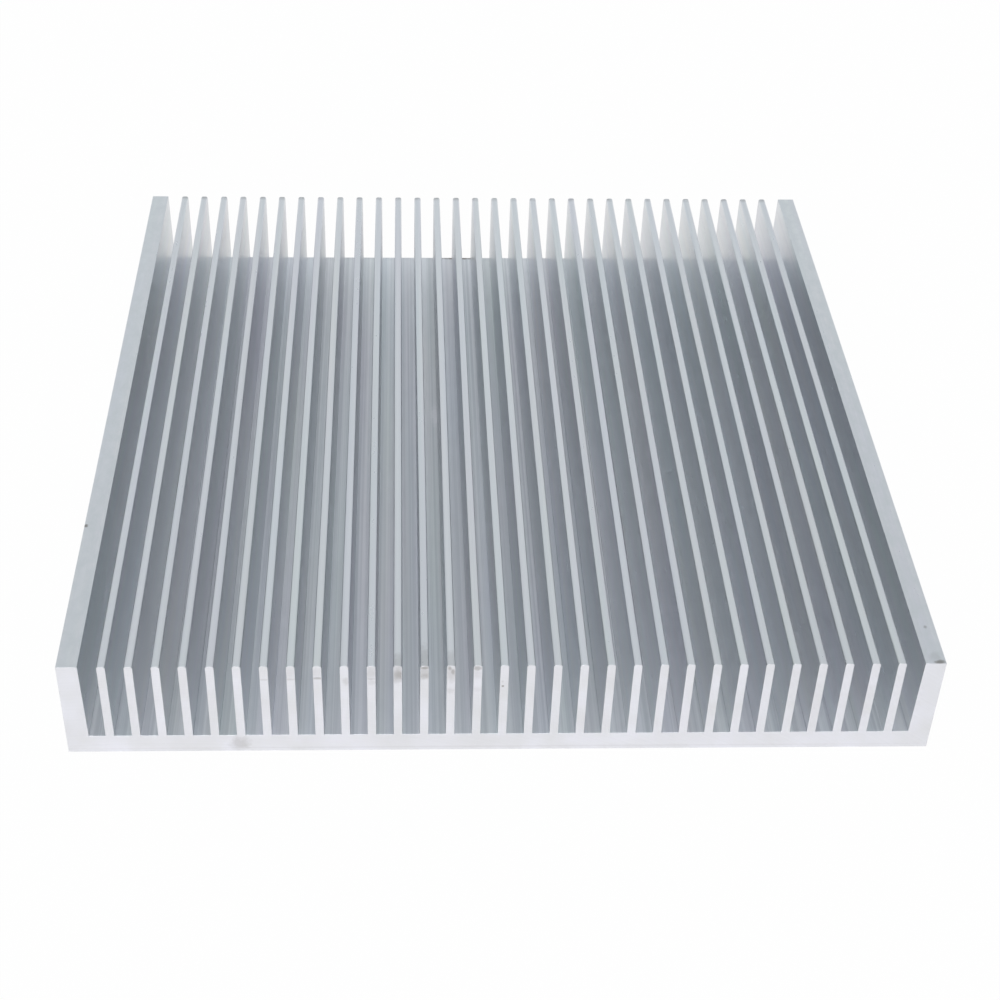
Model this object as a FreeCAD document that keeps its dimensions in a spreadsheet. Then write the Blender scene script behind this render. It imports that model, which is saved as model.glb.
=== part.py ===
# Extruded aluminium heat sink: one flat base, a thick wall along each side and thin fins between the walls.
# The extrusion is sawn to length, so one cross-section runs the whole way from end to end.
# Row frame: X across the fins, Y along the extrusion, Z up. The origin is the middle of the underside.
import FreeCAD, Part
import math
import os
import Sketcher

# Driving dimensions in millimetres, apart from the number of fins.
SIZES = [
    ("width", 150.0, "across the fins, over both side walls"),
    ("length", 160.0, "along the extrusion, from saw cut to saw cut"),
    ("height", 20.0, "from the underside to the fin tips"),
    ("base_thickness", 3.85, "from the underside to the channel floors"),
    ("wall_root_thickness", 3.85, "each side wall at the channel floor"),
    ("wall_tip_thickness", 3.60, "each side wall at its top, before its corners are eased"),
    ("outer_channel_width", 2.86, "between a side wall and the fin beside it, at the channel floor"),
    ("fin_count", 31, "thin fins between the side walls"),
    ("fin_root_thickness", 1.50, "fin at the channel floor"),
    ("fin_tip_thickness", 1.46, "fin at its tip, before the tip is rounded"),
    ("root_radius", 0.30, "hollow corner where a fin or wall meets the floor"),
    ("tip_radius", 0.45, "rounded corner of each fin tip"),
    ("wall_edge_radius", 0.15, "eased corner of each side wall's top"),
]

# From the middle of the first fin to the middle of the last.
FIN_SPAN = (
    "2 * (sizes.width / 2 - sizes.wall_root_thickness - sizes.outer_channel_width)"
    " - sizes.fin_root_thickness"
)

# Sizes that follow from the driving ones.
DERIVED = [
    ("fin_span", FIN_SPAN),
    ("outer_fin_x", f"({FIN_SPAN}) / 2"),
    ("half_root", "sizes.fin_root_thickness / 2"),
    ("half_tip", "sizes.fin_tip_thickness / 2"),
]

# How a sketch numbers the ends of a line or an arc, and its own two axes, which start at its origin.
START = 1
END = 2
HORIZONTAL_AXIS = -1
VERTICAL_AXIS = -2


def make_sheet(doc):
    """The spreadsheet that holds the driving dimensions."""
    sheet = doc.addObject("Spreadsheet::Sheet", "sizes")
    for row, (alias, size, meaning) in enumerate(SIZES, start=1):
        sheet.set(f"A{row}", alias)
        sheet.set(f"B{row}", str(size))
        sheet.setAlias(f"B{row}", alias)
        sheet.set(f"C{row}", meaning)
    doc.recompute()
    return sheet


def make_derived(doc):
    """The set of sizes that are worked out from the sheet."""
    derived = doc.addObject("App::VarSet", "derived")
    for name, expression in DERIVED:
        derived.addProperty("App::PropertyFloat", name)
        derived.setExpression(name, expression)
    doc.recompute()
    return derived


def add_sketch(body, name):
    """A sketch on the body's own XZ plane, which is the plane of the extrusion's cross-section."""
    sketch = body.newObject("Sketcher::SketchObject", name)
    plane = [f for f in body.Origin.OriginFeatures if f.Role == "XZ_Plane"][0]
    sketch.AttachmentSupport = [(plane, "")]
    sketch.MapMode = "FlatFace"
    return sketch


def add_line(sketch, start, end, construction=False):
    """A straight stretch of the profile from one (x, z) point to another. Returns its number."""
    line = Part.LineSegment(FreeCAD.Vector(*start, 0), FreeCAD.Vector(*end, 0))
    return sketch.addGeometry(line, construction)


def add_arc(sketch, centre, radius, from_quarter):
    """A quarter round about centre, counter-clockwise from so many quarter turns. Returns its number."""
    circle = Part.Circle(FreeCAD.Vector(*centre, 0), FreeCAD.Vector(0, 0, 1), radius)
    first = math.radians(90 * from_quarter)
    return sketch.addGeometry(Part.ArcOfCircle(circle, first, first + math.radians(90)), False)


def tie(sketch, *constraint):
    """Adds a geometric constraint."""
    sketch.addConstraint(Sketcher.Constraint(*constraint))


def size(sketch, source, alias, *constraint):
    """Adds a dimension that follows one named size of the sheet or of the derived set."""
    number = sketch.addConstraint(Sketcher.Constraint(*constraint, float(getattr(source, alias))))
    sketch.renameConstraint(number, alias)
    sketch.setExpression(f"Constraints.{alias}", f"{source.Name}.{alias}")


def draw_trough(sketch, sizes):
    """The base and both side walls as one U. The walls' inner faces lean out a little towards the top."""
    half_width = sizes.width / 2
    foot_x = half_width - sizes.wall_root_thickness
    crest_x = half_width - sizes.wall_tip_thickness
    height = sizes.height
    floor_z = sizes.base_thickness
    root = sizes.root_radius
    ease = sizes.wall_edge_radius

    under = add_line(sketch, (-half_width, 0), (half_width, 0))
    right_outer = add_line(sketch, (half_width, 0), (half_width, height - ease))
    right_outer_ease = add_arc(sketch, (half_width - ease, height - ease), ease, 0)
    right_top = add_line(sketch, (half_width - ease, height), (crest_x + ease, height))
    right_inner_ease = add_arc(sketch, (crest_x + ease, height - ease), ease, 1)
    right_inner = add_line(sketch, (crest_x, height - ease), (foot_x, floor_z + root))
    right_corner = add_arc(sketch, (foot_x - root, floor_z + root), root, 3)
    floor = add_line(sketch, (foot_x - root, floor_z), (root - foot_x, floor_z))
    left_corner = add_arc(sketch, (root - foot_x, floor_z + root), root, 2)
    left_inner = add_line(sketch, (-foot_x, floor_z + root), (-crest_x, height - ease))
    left_inner_ease = add_arc(sketch, (-crest_x - ease, height - ease), ease, 0)
    left_top = add_line(sketch, (-crest_x - ease, height), (ease - half_width, height))
    left_outer_ease = add_arc(sketch, (ease - half_width, height - ease), ease, 1)
    left_outer = add_line(sketch, (-half_width, height - ease), (-half_width, 0))
    # A wall's thickness is stated where its flat faces, carried on, meet the floor's level and its top.
    foot = add_line(sketch, (foot_x, floor_z), (half_width, floor_z), construction=True)
    crest = add_line(sketch, (crest_x, height), (half_width, height), construction=True)

    # Square corners at the underside, and every round tangent to the two faces that it joins.
    tie(sketch, "Coincident", under, END, right_outer, START)
    tie(sketch, "Coincident", left_outer, END, under, START)
    tie(sketch, "Tangent", right_outer, END, right_outer_ease, START)
    tie(sketch, "Tangent", right_outer_ease, END, right_top, START)
    tie(sketch, "Tangent", right_top, END, right_inner_ease, START)
    tie(sketch, "Tangent", right_inner_ease, END, right_inner, START)
    tie(sketch, "Tangent", right_inner, END, right_corner, END)
    tie(sketch, "Tangent", right_corner, START, floor, START)
    tie(sketch, "Tangent", floor, END, left_corner, END)
    tie(sketch, "Tangent", left_corner, START, left_inner, START)
    tie(sketch, "Tangent", left_inner, END, left_inner_ease, START)
    tie(sketch, "Tangent", left_inner_ease, END, left_top, START)
    tie(sketch, "Tangent", left_top, END, left_outer_ease, START)
    tie(sketch, "Tangent", left_outer_ease, END, left_outer, START)
    for level in (under, right_top, left_top, foot, crest):
        tie(sketch, "Horizontal", level)
    for face in (right_outer, left_outer):
        tie(sketch, "Vertical", face)
    tie(sketch, "Symmetric", under, START, under, END, HORIZONTAL_AXIS, START)
    tie(sketch, "Symmetric", floor, START, floor, END, VERTICAL_AXIS)
    for other_ease in (right_inner_ease, left_inner_ease, left_outer_ease):
        tie(sketch, "Equal", right_outer_ease, other_ease)
    tie(sketch, "Equal", right_corner, left_corner)
    tie(sketch, "Equal", right_outer, left_outer)
    tie(sketch, "Equal", right_top, left_top)
    for level, face in ((foot, floor), (crest, right_top)):
        tie(sketch, "PointOnObject", level, START, face)
        tie(sketch, "PointOnObject", level, START, right_inner)
        tie(sketch, "PointOnObject", level, END, right_outer)

    size(sketch, sizes, "width", "DistanceX", under, START, under, END)
    size(sketch, sizes, "wall_root_thickness", "DistanceX", foot, START, foot, END)
    size(sketch, sizes, "wall_tip_thickness", "DistanceX", crest, START, crest, END)
    size(sketch, sizes, "height", "DistanceY", HORIZONTAL_AXIS, START, right_top, START)
    size(sketch, sizes, "base_thickness", "DistanceY", HORIZONTAL_AXIS, START, floor, START)
    size(sketch, sizes, "root_radius", "Radius", right_corner)
    size(sketch, sizes, "wall_edge_radius", "Radius", right_outer_ease)


def draw_fin(sketch, sizes, derived):
    """The fin nearest the right wall: tapered sides, hollow corners at the floor and a rounded tip."""
    middle = derived.outer_fin_x
    height = sizes.height
    floor_z = sizes.base_thickness
    half_root = derived.half_root
    half_tip = derived.half_tip
    root = sizes.root_radius
    tip = sizes.tip_radius
    foot = half_root + root

    right_side = add_line(sketch, (middle + half_root, floor_z + root), (middle + half_tip, height - tip))
    right_tip = add_arc(sketch, (middle + half_tip - tip, height - tip), tip, 0)
    top = add_line(sketch, (middle + half_tip - tip, height), (middle - half_tip + tip, height))
    left_tip = add_arc(sketch, (middle - half_tip + tip, height - tip), tip, 1)
    left_side = add_line(sketch, (middle - half_tip, height - tip), (middle - half_root, floor_z + root))
    left_root = add_arc(sketch, (middle - foot, floor_z + root), root, 3)
    floor = add_line(sketch, (middle - foot, floor_z), (middle + foot, floor_z))
    right_root = add_arc(sketch, (middle + foot, floor_z + root), root, 2)
    # The fin's thickness is stated where its flat sides, carried on, meet the floor and the tip's level.
    axis = add_line(sketch, (middle, floor_z), (middle, height), construction=True)
    root_level = add_line(sketch, (middle, floor_z), (middle + half_root, floor_z), construction=True)
    tip_level = add_line(sketch, (middle, height), (middle + half_tip, height), construction=True)

    tie(sketch, "Tangent", right_side, END, right_tip, START)
    tie(sketch, "Tangent", right_tip, END, top, START)
    tie(sketch, "Tangent", top, END, left_tip, START)
    tie(sketch, "Tangent", left_tip, END, left_side, START)
    tie(sketch, "Tangent", left_side, END, left_root, END)
    tie(sketch, "Tangent", left_root, START, floor, START)
    tie(sketch, "Tangent", floor, END, right_root, END)
    tie(sketch, "Tangent", right_root, START, right_side, START)
    tie(sketch, "Vertical", axis)
    for level in (root_level, tip_level, floor, top):
        tie(sketch, "Horizontal", level)
    tie(sketch, "Coincident", root_level, START, axis, START)
    tie(sketch, "Coincident", tip_level, START, axis, END)
    tie(sketch, "PointOnObject", root_level, END, right_side)
    tie(sketch, "PointOnObject", tip_level, END, right_side)
    tie(sketch, "Symmetric", floor, START, floor, END, axis, START)
    tie(sketch, "Symmetric", top, START, top, END, axis, END)
    tie(sketch, "Equal", right_tip, left_tip)
    tie(sketch, "Equal", right_root, left_root)

    size(sketch, derived, "outer_fin_x", "DistanceX", HORIZONTAL_AXIS, START, axis, START)
    size(sketch, sizes, "base_thickness", "DistanceY", HORIZONTAL_AXIS, START, axis, START)
    size(sketch, sizes, "height", "DistanceY", HORIZONTAL_AXIS, START, axis, END)
    size(sketch, derived, "half_root", "DistanceX", root_level, START, root_level, END)
    size(sketch, derived, "half_tip", "DistanceX", tip_level, START, tip_level, END)
    size(sketch, sizes, "root_radius", "Radius", right_root)
    size(sketch, sizes, "tip_radius", "Radius", right_tip)


def extrude(body, sketch, name):
    """Carries a profile over the whole length, half each way from the cross-section's plane."""
    pad = body.newObject("PartDesign::Pad", name)
    pad.Profile = sketch
    pad.SideType = "Symmetric"
    pad.setExpression("Length", "sizes.length")
    return pad


def repeat_fin(body, fin):
    """Repeats the fin from the right wall to the left one at an even pitch."""
    row = body.newObject("PartDesign::LinearPattern", "fin_row")
    row.Originals = [fin]
    x_axis = [f for f in body.Origin.OriginFeatures if f.Role == "X_Axis"][0]
    row.Direction = (x_axis, [""])
    row.Reversed = True
    row.setExpression("Length", "derived.fin_span")
    row.setExpression("Occurrences", "sizes.fin_count")
    body.Tip = row


def build():
    """The whole heat sink as one body."""
    doc = FreeCAD.newDocument("heat_sink")
    sizes = make_sheet(doc)
    derived = make_derived(doc)
    body = doc.addObject("PartDesign::Body", "Body")
    body.Label = "heat_sink"

    trough_sketch = add_sketch(body, "trough_profile")
    draw_trough(trough_sketch, sizes)
    extrude(body, trough_sketch, "trough")
    doc.recompute()

    fin_sketch = add_sketch(body, "fin_profile")
    draw_fin(fin_sketch, sizes, derived)
    fin = extrude(body, fin_sketch, "fin")
    doc.recompute()

    repeat_fin(body, fin)
    doc.recompute()
    return doc, [body]


def check(doc, parts):
    """Stops the script if any object failed or a part isn't one valid solid."""
    for thing in doc.Objects:
        if "Invalid" in thing.State or "Error" in thing.State:
            raise RuntimeError(f"{thing.Name} failed: {thing.State}")
    for sketch in doc.findObjects("Sketcher::SketchObject"):
        if sketch.solve() != 0 or not sketch.FullyConstrained:
            raise RuntimeError(f"{sketch.Name} isn't fully constrained")
    for part in parts:
        shape = part.Shape
        if shape.isNull() or not shape.isValid() or len(shape.Solids) != 1:
            raise RuntimeError(f"{part.Label} isn't one valid solid")


def export(parts):
    """Writes each part to its own STEP file, named after its label."""
    os.makedirs("parts", exist_ok=True)
    for part in parts:
        part.Shape.exportStep(f"parts/{part.Label}.step")
        box = part.Shape.BoundBox
        print(
            f"{part.Label}: {box.XLength:.3f} x {box.YLength:.3f} x {box.ZLength:.3f} mm, "
            f"{part.Shape.Volume / 1000:.2f} cm3, {len(part.Shape.Faces)} faces"
        )


document, pieces = build()
check(document, pieces)
export(pieces)
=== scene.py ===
import bpy
import math
import random
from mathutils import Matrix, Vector


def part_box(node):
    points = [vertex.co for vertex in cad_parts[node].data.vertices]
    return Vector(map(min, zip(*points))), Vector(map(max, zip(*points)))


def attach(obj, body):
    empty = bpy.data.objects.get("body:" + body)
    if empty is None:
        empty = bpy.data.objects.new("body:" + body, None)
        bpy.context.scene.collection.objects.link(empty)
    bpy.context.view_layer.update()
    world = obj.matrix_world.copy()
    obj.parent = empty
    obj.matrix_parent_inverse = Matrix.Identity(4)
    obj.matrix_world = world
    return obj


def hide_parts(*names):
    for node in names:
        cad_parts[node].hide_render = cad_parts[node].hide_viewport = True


MM = 0.001

# The cross-section is the solid's, apart from tighter root corners: a larger fillet draws a dark
# line along each channel, which the photograph doesn't show.
BASE = 3.85 * MM
WALL_ROOT = 3.85 * MM
WALL_TIP = 3.60 * MM
OUTER_CHANNEL = 2.86 * MM
FIN_COUNT = 31
FIN_ROOT = 1.50 * MM
FIN_TIP = 1.46 * MM
ROOT_RADIUS = 0.05 * MM
TIP_RADIUS = 0.45 * MM
WALL_EASE = 0.15 * MM

# What the saw and handling leave: a broken edge round each sawn end, and fins that sway sideways.
EDGE_BREAK = 0.06 * MM
FIN_SWAY = 0.05 * MM
SWAY_WAVES = (0.6, 1.6)
SWAY_SEED = 7

# How finely the length and each rounded corner are divided, and from how many degrees an edge
# is shaded sharp.
STATIONS = 24
ARC_STEPS = 5
SHARP_ANGLE = 30

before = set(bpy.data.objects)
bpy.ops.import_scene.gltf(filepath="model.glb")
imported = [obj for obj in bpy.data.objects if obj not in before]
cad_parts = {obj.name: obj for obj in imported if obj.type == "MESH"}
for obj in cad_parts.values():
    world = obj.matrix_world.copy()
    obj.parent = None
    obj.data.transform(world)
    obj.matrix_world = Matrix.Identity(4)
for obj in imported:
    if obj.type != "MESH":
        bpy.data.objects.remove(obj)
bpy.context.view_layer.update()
HIGH = Vector(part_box("heat_sink")[1])
HALF_WIDTH = HIGH.x
HALF_LENGTH = HIGH.y
HEIGHT = HIGH.z
WALL_FOOT = HALF_WIDTH - WALL_ROOT
WALL_CREST = HALF_WIDTH - WALL_TIP
PITCH = (2 * (WALL_FOOT - OUTER_CHANNEL) - FIN_ROOT) / (FIN_COUNT - 1)


class Section:
    """The closed cross-section as points with outward normals.

    The points go anticlockwise as seen from the end at -Y, and each knows which fin it is on."""

    def __init__(self):
        self.points = []
        self.fin = None

    def add(self, x, z, nx, nz):
        self.points.append((x, z, nx, nz, self.fin))

    def arc(self, x, z, radius, start, end, hollow=False):
        """Points round a centre between two angles in degrees. A hollow arc's normals point in."""
        side = -1 if hollow else 1
        for step in range(ARC_STEPS + 1):
            angle = math.radians(start + (end - start) * step / ARC_STEPS)
            c, s = math.cos(angle), math.sin(angle)
            self.add(x + radius * c, z + radius * s, side * c, side * s)


def draw_section():
    """The base and walls with every fin, starting at the underside's left corner."""
    root_z = BASE + ROOT_RADIUS
    tip_z = HEIGHT - TIP_RADIUS
    ease_z = HEIGHT - WALL_EASE
    foot = FIN_ROOT / 2 + ROOT_RADIUS
    nose = FIN_TIP / 2 - TIP_RADIUS
    out = Section()
    out.add(-HALF_WIDTH, 0, -1, -1)
    out.add(HALF_WIDTH, 0, 1, -1)
    out.arc(HALF_WIDTH - WALL_EASE, ease_z, WALL_EASE, 0, 90)
    out.arc(WALL_CREST + WALL_EASE, ease_z, WALL_EASE, 90, 180)
    out.arc(WALL_FOOT - ROOT_RADIUS, root_z, ROOT_RADIUS, 0, -90, hollow=True)
    for number in range(FIN_COUNT):
        middle = ((FIN_COUNT - 1) / 2 - number) * PITCH
        out.fin = number
        out.arc(middle + foot, root_z, ROOT_RADIUS, 270, 180, hollow=True)
        out.arc(middle + nose, tip_z, TIP_RADIUS, 0, 90)
        out.arc(middle - nose, tip_z, TIP_RADIUS, 90, 180)
        out.arc(middle - foot, root_z, ROOT_RADIUS, 0, -90, hollow=True)
        out.fin = None
    out.arc(ROOT_RADIUS - WALL_FOOT, root_z, ROOT_RADIUS, 270, 180, hollow=True)
    out.arc(-WALL_CREST - WALL_EASE, ease_z, WALL_EASE, 0, 90)
    out.arc(WALL_EASE - HALF_WIDTH, ease_z, WALL_EASE, 90, 180)
    return out.points


def draw_sways(rng):
    """One slow wave for each fin, as amplitude, waves along half the length, and phase."""
    return [
        (rng.uniform(-1, 1) * FIN_SWAY, rng.uniform(*SWAY_WAVES), rng.uniform(0, 2 * math.pi))
        for _ in range(FIN_COUNT)
    ]


def sway_shift(sway, y, z):
    """How far a fin's point is moved sideways: not at all at the channel floor, most at the tip."""
    amplitude, waves, phase = sway
    rise = max(0, (z - BASE) / (HEIGHT - BASE))
    return amplitude * rise ** 2 * math.sin(phase + waves * math.pi * y / HALF_LENGTH)


def sweep_section(points, sways):
    """The section's rings from end to end. The first and last are drawn in by the broken edge."""
    inner = HALF_LENGTH - EDGE_BREAK
    stations = [(-HALF_LENGTH, EDGE_BREAK)]
    stations += [(-inner + 2 * inner * i / STATIONS, 0) for i in range(STATIONS + 1)]
    stations += [(HALF_LENGTH, EDGE_BREAK)]
    vertices = []
    for y, inset in stations:
        for x, z, nx, nz, fin in points:
            shift = 0 if fin is None else sway_shift(sways[fin], y, z)
            vertices.append((x + shift - nx * inset, y, z - nz * inset))
    count = len(points)
    faces = []
    for ring in range(len(stations) - 1):
        here, there = ring * count, (ring + 1) * count
        for i in range(count):
            j = (i + 1) % count
            faces.append([here + i, here + j, there + j, there + i])
    last = (len(stations) - 1) * count
    faces.append(list(range(count))[::-1])
    faces.append([last + i for i in range(count)])
    return vertices, faces


def make_body():
    """The whole extrusion as one mesh, with the two sawn ends in a material of their own."""
    vertices, faces = sweep_section(draw_section(), draw_sways(random.Random(SWAY_SEED)))
    mesh = bpy.data.meshes.new("extrusion")
    mesh.from_pydata(vertices, [], faces)
    mesh.materials.append(extruded_metal())
    mesh.materials.append(sawn_metal())
    for end in mesh.polygons[-2:]:
        end.material_index = 1
    mesh.shade_smooth()
    mesh.set_sharp_from_angle(angle=math.radians(SHARP_ANGLE))
    body = bpy.data.objects.new("heat_sink_body", mesh)
    bpy.context.collection.objects.link(body)
    # Keeps the wide flat faces flat in the shading, beside the narrow ones round their edges.
    even = body.modifiers.new("even_shading", "WEIGHTED_NORMAL")
    even.keep_sharp = True
    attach(body, "root")
    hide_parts("heat_sink")


# A spot is full up to this share of its reach, and its outline strays by half the second number.
SPOT_FULL = 0.35
SPOT_RAGGED = 0.9


class Graph:
    """The nodes of a material or world. Inputs are set by name or number, with a value or with
    another node's output."""

    def __init__(self, owner):
        self.owner = owner
        owner.use_nodes = True
        self.tree = owner.node_tree
        self.tree.nodes.clear()

    def add(self, kind, inputs=None, **settings):
        node = self.tree.nodes.new("ShaderNode" + kind)
        for key, value in settings.items():
            setattr(node, key, value)
        for key, value in (inputs or {}).items():
            if isinstance(value, bpy.types.NodeSocket):
                self.tree.links.new(value, node.inputs[key])
            else:
                node.inputs[key].default_value = value
        return node

    def math(self, operation, a, b=0.0):
        return self.add("Math", {0: a, 1: b}, operation=operation).outputs[0]

    def vector(self, operation, a, b):
        inputs = {0: a, 1: b}
        return self.add("VectorMath", inputs, operation=operation).outputs["Vector"]

    def length(self, vector):
        return self.add("VectorMath", {0: vector}, operation="LENGTH").outputs["Value"]

    def place(self):
        """The object's own coordinates, in millimetres."""
        inputs = {0: self.add("TexCoord").outputs["Object"], "Scale": 1 / MM}
        return self.add("VectorMath", inputs, operation="SCALE").outputs["Vector"]

    def noise(self, place, scale, detail=2.0, roughness=0.5, output="Fac"):
        """Noise from 0 to 1 about 0.5, with scale as cycles per millimetre along each axis."""
        inputs = {
            "Vector": self.vector("MULTIPLY", place, scale),
            "Scale": 1.0,
            "Detail": detail,
            "Roughness": roughness,
        }
        return self.add("TexNoise", inputs).outputs[output]

    def spread(self, value, low, high, to_low, to_high):
        """Maps a value from one range to another, held at both ends."""
        inputs = {"Value": value, 1: low, 2: high, 3: to_low, 4: to_high}
        return self.add("MapRange", inputs, clamp=True).outputs["Result"]

    def fade(self, value, edge, span, start, end):
        """Goes from start to end while the value crosses a span, which is measured from an edge."""
        return self.spread(value, edge + span[0], edge + span[1], start, end)

    def mix(self, factor, a, b, blend="MIX"):
        inputs = {"Fac": factor, "Color1": a, "Color2": b}
        return self.add("MixRGB", inputs, blend_type=blend).outputs["Color"]

    def spot(self, place, centre, reach, edge):
        """1 at a centre, fading to 0 at its reach along each axis, both in millimetres.

        The edge is a noise that makes the outline ragged."""
        offset = self.vector("SUBTRACT", place, centre)
        distance = self.length(self.vector("MULTIPLY", offset, [1 / r for r in reach]))
        ragged = self.math("MULTIPLY", self.math("SUBTRACT", edge, 0.5), SPOT_RAGGED)
        return self.spread(self.math("ADD", distance, ragged), SPOT_FULL, 1.0, 1.0, 0.0)

    def stain_and_shade(self, colour, stain_and_shade, mask, strength):
        """A colour with a stain, a cloud or painted shade laid over it where the mask is 1."""
        return self.mix(self.math("MULTIPLY", mask, strength), colour, stain_and_shade)


# Colours are linear red, green and blue.
EXTRUDED_TINT = (0.980, 0.988, 0.998, 1)
EXTRUDED_DARK = (0.925, 0.938, 0.955, 1)
EXTRUDED_CLOUD = (0.85, 0.87, 0.885, 1)
CREST_TINT = (0.960, 0.962, 0.968, 1)
# Painted shade on the channel floors, at its least and its most across the die lines.
FLOOR_SHADE_LEAST = (0.98, 0.983, 1.0, 1)
FLOOR_SHADE_MOST = (0.83, 0.834, 0.855, 1)
SAWN_TINT = (0.86, 0.855, 0.895, 1)
SAWN_WARM = (0.835, 0.83, 0.85, 1)
BLADE_SHADE = (0.55, 0.56, 0.60, 1)
# Dirt for the marks, also used for the painted shade on the fins' far tips.
DIRT_AND_SHADE = (0.27, 0.245, 0.22, 1)
SCUFF = (0.98, 0.97, 1.0, 1)
METALLIC = 1.0
BUMP_DEPTH = 0.010 * MM

# Noise scales, as cycles per millimetre along x, y and z.
FINE_LINES = (1.7, 0.004, 1.7)
BROAD_LINES = (0.42, 0.004, 0.42)
CHANNEL_HUES = (0.30, 0.012, 0.30)
MOTTLING = (0.55, 0.25, 0.55)
RAGGED_EDGE = (1.1, 0.9, 1.1)
SAWN_CLOUDS = (0.16, 0.16, 0.16)

# How much of the line pattern is fine or broad, and how far the hue strays between channels.
FINE_SHARE = 0.6
BROAD_SHARE = 0.4
HUE_SHARE = 0.035

# The noise levels between which each pattern changes.
STREAK_LEVELS = (0.40, 0.60)
CLOUD_LEVELS = (0.36, 0.66)
FAR_TIP_SHADE_LEVELS = (0.35, 0.6)
SAWN_LEVELS = (0.35, 0.65)
ARC_LEVELS = (0.3, 0.7)

# Roughness at the smoothest and roughest patches, and what the channel floors add to the skin's.
SKIN_ROUGHNESS = (0.26, 0.34)
SAWN_ROUGHNESS = (0.48, 0.58)
FLOOR_ROUGHER = 0.07

# Where the skin's masks fade, in millimetres from a wall's foot, the channel floor, the crests
# or the far end.
INSIDE_FADE = (0.0, 0.5)
WALL_FADE = (-0.65, -0.15)
FLOOR_FADE_ABOVE = (0.0, 0.35)
FLOOR_FADE_BELOW = (-0.5, -0.1)
CREST_FADE = (-0.4, -0.1)
FAR_TIP_SHADE_FADE = (-1.8, -0.3)

# How strong the painted shade on the fins' far tips and the blade's arcs are.
FAR_TIP_SHADE_STRENGTH = 0.45
ARC_STRENGTH = 0.05

# The saw blade's hub in millimetres, and the blade's lines for each millimetre out from it.
BLADE_HUB = (-60.0, 0.0, -190.0)
BLADE_LINES = 2.4

# The light scuff in one channel: centre and reach in millimetres, and strength.
SCUFF_MARK = ((-10.2, 15.0, 3.9), (1.2, 4.5, 0.8), 0.7)

# Marks on the sawn end at -Y, all in millimetres but the last number: centre x and z, reach
# across and up, and strength.
END_MARKS = [
    (-45.3, 1.9, 2.2, 2.0, 0.26),
    (-40.5, 16.95, 1.4, 0.28, 0.16),
    (-36.0, 17.0, 1.4, 0.28, 0.16),
    (-36.0, 18.4, 1.4, 1.6, 0.07),
    (-31.5, 17.2, 1.5, 0.36, 0.40),
    (-31.5, 18.5, 1.5, 1.6, 0.10),
    (-26.7, 16.4, 0.8, 1.1, 0.18),
    (-22.5, 17.0, 1.4, 0.28, 0.18),
    (-22.5, 18.5, 1.5, 1.9, 0.16),
    (-22.4, 16.2, 0.9, 0.9, 0.12),
    (-18.0, 18.0, 1.4, 2.6, 0.36),
    (-17.8, 17.9, 1.0, 1.0, 0.30),
    (-13.5, 19.5, 1.2, 0.40, 0.50),
    (-13.5, 17.6, 1.2, 0.7, 0.22),
    (-13.5, 18.4, 1.4, 1.9, 0.28),
    (-9.3, 19.4, 0.5, 0.6, 0.50),
    (-8.7, 18.6, 0.40, 0.8, 0.40),
    (-9.0, 18.0, 1.4, 2.4, 0.20),
    (-9.0, 14.2, 1.2, 0.8, 0.13),
    (-4.5, 19.4, 1.1, 0.7, 0.44),
    (-4.5, 18.0, 1.2, 1.6, 0.12),
    (-4.5, 14.5, 1.2, 0.8, 0.08),
    (-0.3, 16.3, 0.30, 0.30, 0.14),
    (-0.2, 15.2, 0.30, 0.30, 0.70),
    (0.0, 0.75, 99.0, 0.30, 0.08),
]

# Marks on the extruded skin, all in millimetres but the last number: centre, reach and strength.
LENGTH_MARKS = [
    ((73.25, -70.8, 20.0), (0.42, 0.55, 0.5), 0.45),
    ((73.9, -79.65, 20.0), (1.2, 0.65, 0.6), 0.75),
    ((73.4, -78.4, 20.0), (1.4, 1.6, 0.6), 0.14),
    ((-18.0, -79.0, 20.0), (1.4, 2.6, 1.0), 0.24),
    ((-13.5, -78.5, 20.0), (1.4, 4.5, 1.0), 0.26),
    ((-9.0, -79.0, 20.0), (1.4, 3.4, 1.0), 0.20),
    ((-74.7, -42.4, 20.0), (0.5, 0.6, 0.5), 0.80),
    ((-3.8, 79.9, 3.85), (4.8, 0.8, 0.8), 0.95),
]


def metal(graph, colour, roughness, height):
    """Bare aluminium with a given colour, roughness and surface height."""
    bump = graph.add("Bump", {"Strength": 1.0, "Distance": BUMP_DEPTH, "Height": height})
    inputs = {
        "Base Color": colour,
        "Metallic": METALLIC,
        "Roughness": roughness,
        "Normal": bump.outputs["Normal"],
    }
    shader = graph.add("BsdfPrincipled", inputs)
    graph.add("OutputMaterial", {"Surface": shader.outputs["BSDF"]})
    return graph.owner


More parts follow.
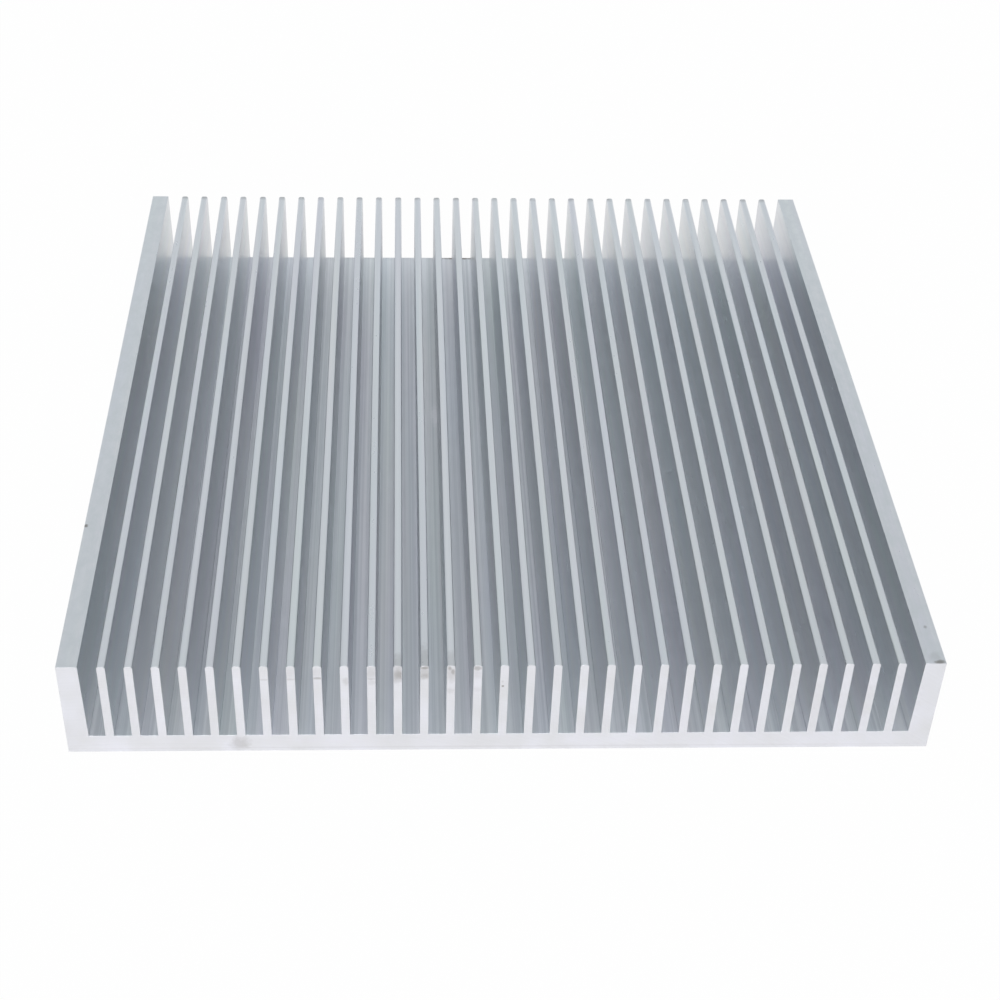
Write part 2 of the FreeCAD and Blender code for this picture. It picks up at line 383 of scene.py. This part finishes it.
def extruded_metal():
    """Satin extruded skin: die lines and slow hues along the length, clouded wall tops, marks."""
    graph = Graph(bpy.data.materials.new("extruded_aluminium"))
    place = graph.place()
    split = graph.add("SeparateXYZ", {0: place}).outputs
    aside = graph.math("ABSOLUTE", split["X"])
    level = split["Z"]
    fine = graph.noise(place, FINE_LINES, detail=3.0, roughness=0.6)
    broad = graph.noise(place, BROAD_LINES)
    hue = graph.noise(place, CHANNEL_HUES, detail=1.0, output="Color")
    mottle = graph.noise(place, MOTTLING, detail=4.0, roughness=0.62)
    edge = graph.noise(place, RAGGED_EDGE, detail=3.0)

    # Masks: between the walls, on the channel floors, on the crests and on the walls' tops.
    foot, floor, crest, end = (size / MM for size in (WALL_FOOT, BASE, HEIGHT, HALF_LENGTH))
    inside = graph.fade(aside, foot, INSIDE_FADE, 1.0, 0.0)
    below = graph.fade(level, floor, FLOOR_FADE_ABOVE, 1.0, 0.0)
    above = graph.fade(level, floor, FLOOR_FADE_BELOW, 0.0, 1.0)
    on_floor = graph.math("MULTIPLY", graph.math("MULTIPLY", inside, below), above)
    on_crest = graph.fade(level, crest, CREST_FADE, 0.25, 1.0)
    on_wall = graph.fade(aside, foot, WALL_FADE, 0.15, 1.0)

    fine = graph.math("MULTIPLY", fine, FINE_SHARE)
    broad = graph.math("MULTIPLY", broad, BROAD_SHARE)
    lines = graph.math("ADD", fine, broad)
    streaks = graph.spread(lines, *STREAK_LEVELS, 0.0, 1.0)
    colour = graph.mix(streaks, EXTRUDED_DARK, EXTRUDED_TINT)
    colour = graph.mix(HUE_SHARE, colour, hue, "LINEAR_LIGHT")
    # Painted shade on the channel floors, varied by the die lines.
    floor_shade_and_grain = graph.mix(streaks, FLOOR_SHADE_MOST, FLOOR_SHADE_LEAST)
    colour = graph.mix(on_floor, colour, floor_shade_and_grain, "MULTIPLY")
    colour = graph.mix(on_crest, colour, CREST_TINT, "MULTIPLY")
    cloud = graph.math("MULTIPLY", on_crest, graph.spread(mottle, *CLOUD_LEVELS, 0.0, 1.0))
    colour = graph.stain_and_shade(colour, EXTRUDED_CLOUD, on_wall, cloud)

    # Painted shade on the fins' crests at the far end, where the rounded edge reflects dark.
    far_tip_shade = graph.fade(split["Y"], end, FAR_TIP_SHADE_FADE, 0.0, FAR_TIP_SHADE_STRENGTH)
    far_tip_shade = graph.math("MULTIPLY", far_tip_shade, graph.spread(edge, *FAR_TIP_SHADE_LEVELS, 0.3, 1.0))
    far_tip_shade = graph.math("MULTIPLY", far_tip_shade, inside)
    colour = graph.stain_and_shade(colour, DIRT_AND_SHADE, on_crest, far_tip_shade)
    for centre, reach, strength in LENGTH_MARKS:
        colour = graph.stain_and_shade(colour, DIRT_AND_SHADE, graph.spot(place, centre, reach, edge), strength)
    centre, reach, strength = SCUFF_MARK
    colour = graph.stain_and_shade(colour, SCUFF, graph.spot(place, centre, reach, edge), strength)

    roughness = graph.spread(graph.math("ADD", lines, mottle), 0.6, 1.4, *SKIN_ROUGHNESS)
    rougher = graph.math("MULTIPLY", on_floor, FLOOR_ROUGHER)
    return metal(graph, colour, graph.math("ADD", roughness, rougher), lines)


def sawn_metal():
    """A sawn end: bright, with the blade's long shallow arcs, faint tints and finger marks."""
    graph = Graph(bpy.data.materials.new("sawn_aluminium"))
    place = graph.place()
    from_hub = graph.vector("SUBTRACT", place, BLADE_HUB)
    radius = graph.length(graph.vector("MULTIPLY", from_hub, (1.0, 0.0, 1.0)))
    inputs = {"W": radius, "Scale": BLADE_LINES, "Detail": 3.0, "Roughness": 0.6}
    arcs = graph.add("TexNoise", inputs, noise_dimensions="1D").outputs["Fac"]
    cloud = graph.noise(place, SAWN_CLOUDS, detail=4.0)
    edge = graph.noise(place, RAGGED_EDGE, detail=3.0)

    colour = graph.mix(graph.spread(cloud, *SAWN_LEVELS, 0.0, 1.0), SAWN_WARM, SAWN_TINT)
    colour = graph.mix(graph.spread(arcs, *ARC_LEVELS, ARC_STRENGTH, 0.0), colour, BLADE_SHADE)
    for x, z, across, up, strength in END_MARKS:
        mask = graph.spot(place, (x, -HALF_LENGTH / MM, z), (across, 1.0, up), edge)
        colour = graph.stain_and_shade(colour, DIRT_AND_SHADE, mask, strength)
    roughness = graph.spread(cloud, 0.3, 0.7, *SAWN_ROUGHNESS)
    return metal(graph, colour, roughness, arcs)


# The floor: half its side, its own colour, and how much of plain white is laid over that for the
# camera and for what the metal mirrors.
FLOOR_REACH = 3.0
PAPER = (0.8, 0.8, 0.8, 1)
WHITE = (1, 1, 1, 1)
FLOOR_SEEN = 0.985
FLOOR_MIRRORED = 0.54


def white_paper():
    """The floor's material: white to the camera and to the metal, with the object's shadow."""
    graph = Graph(bpy.data.materials.new("white_paper"))
    seen = graph.add("Emission", {"Color": WHITE, "Strength": 1.0})
    paper = graph.add("BsdfDiffuse", {"Color": PAPER})
    path = graph.add("LightPath").outputs
    mirrored = graph.math("MAXIMUM", path["Is Glossy Ray"], path["Is Transmission Ray"])
    mirrored = graph.math("MULTIPLY", mirrored, FLOOR_MIRRORED)
    to_camera = graph.math("MULTIPLY", path["Is Camera Ray"], FLOOR_SEEN)
    share = graph.math("MAXIMUM", to_camera, mirrored)
    surface = graph.add("MixShader", {0: share, 1: paper.outputs[0], 2: seen.outputs[0]})
    graph.add("OutputMaterial", {"Surface": surface.outputs[0]})
    return graph.owner


def make_floor():
    mesh = bpy.data.meshes.new("floor")
    around = [(-1, -1), (1, -1), (1, 1), (-1, 1)]
    corners = [(x * FLOOR_REACH, y * FLOOR_REACH, 0) for x, y in around]
    mesh.from_pydata(corners, [], [(0, 1, 2, 3)])
    mesh.materials.append(white_paper())
    floor = bpy.data.objects.new("floor", mesh)
    bpy.context.collection.objects.link(floor)


# The room's light by the height of its direction, from 0 at the horizon to 1 overhead, and how
# it falls off with the direction's reach aside, from 0 straight on to 1 at the left and right.
# Both curves are cut off at the same top, which they don't reach.
ROOM_COLOUR = (0.905, 0.958, 1.0, 1)
ROOM_LIGHT = [(0.0, 0.95), (0.40, 0.66), (0.58, 0.61), (0.78, 0.60), (1.0, 1.15)]
ROOM_ASIDE = [(0.0, 1.06), (0.25, 1.02), (0.6, 0.86), (1.0, 0.45)]
CURVE_TOP = 2.0


def light_curve(graph, direction, levels):
    """The light at a direction, on a smooth curve through the levels."""
    ramp = graph.add("FloatCurve", {"Value": direction})
    ramp.mapping.clip_max_y = CURVE_TOP
    points = ramp.mapping.curves[0].points
    points[0].location, points[1].location = levels[0], levels[-1]
    for level in levels[1:-1]:
        points.new(*level)
    ramp.mapping.update()
    return ramp.outputs["Value"]


def make_world():
    """A dim even studio, white where the camera looks straight at it."""
    world = bpy.data.worlds.new("studio")
    bpy.context.scene.world = world
    graph = Graph(world)
    direction = graph.add("TexCoord").outputs["Generated"]
    split = graph.add("SeparateXYZ", {0: direction}).outputs
    by_height = light_curve(graph, split["Z"], ROOM_LIGHT)
    by_side = light_curve(graph, graph.math("ABSOLUTE", split["X"]), ROOM_ASIDE)
    strength = graph.math("MULTIPLY", by_height, by_side)
    room = graph.add("Background", {"Color": ROOM_COLOUR, "Strength": strength})
    white = graph.add("Background", {"Color": WHITE, "Strength": 1.0})
    to_camera = graph.add("LightPath").outputs["Is Camera Ray"]
    both = graph.add("MixShader", {0: to_camera, 1: room.outputs[0], 2: white.outputs[0]})
    graph.add("OutputWorld", {"Surface": both.outputs[0]})


# One square soft box, low before the near end: its place, what it faces and its side in metres,
# and its power in watts.
LAMP_PLACE = (-0.3, -1.5, 0.3)
LAMP_TARGET = (0, 0, 0.01)
LAMP_SIDE = 1.2
LAMP_POWER = 15.8


def make_lamp():
    lamp = bpy.data.lights.new("front_box", "AREA")
    lamp.shape = "SQUARE"
    lamp.size = LAMP_SIDE
    lamp.energy = LAMP_POWER
    thing = bpy.data.objects.new("front_box", lamp)
    thing.location = LAMP_PLACE
    aim = Vector(LAMP_TARGET) - Vector(LAMP_PLACE)
    thing.rotation_euler = aim.to_track_quat("-Z", "Y").to_euler()
    bpy.context.collection.objects.link(thing)


# The photograph's view: the focal length for a 36 mm wide frame, the shift, the place in metres
# and the turn about x, y and z in degrees.
CAMERA_LENS = 66.98
CAMERA_FRAME = 36.0
CAMERA_SHIFT = (0.0246, 0.05)
CAMERA_PLACE = (-0.017163, -0.308227, 0.233518)
CAMERA_TURN = (50.4862, -1.3287, -1.8112)
CAMERA_NEAREST = 0.01


def make_camera():
    camera = bpy.data.cameras.new("camera")
    camera.lens = CAMERA_LENS
    camera.sensor_width = CAMERA_FRAME
    camera.shift_x, camera.shift_y = CAMERA_SHIFT
    camera.clip_start = CAMERA_NEAREST
    thing = bpy.data.objects.new("camera", camera)
    thing.location = CAMERA_PLACE
    thing.rotation_euler = [math.radians(angle) for angle in CAMERA_TURN]
    bpy.context.collection.objects.link(thing)
    bpy.context.scene.camera = thing


# Light reaches the channels after many reflections, which the usual limit would cut off.
bpy.context.scene.cycles.glossy_bounces = 12
make_camera()
make_body()
make_floor()
make_world()
make_lamp()
bpy.context.scene.view_settings.view_transform = "Standard"
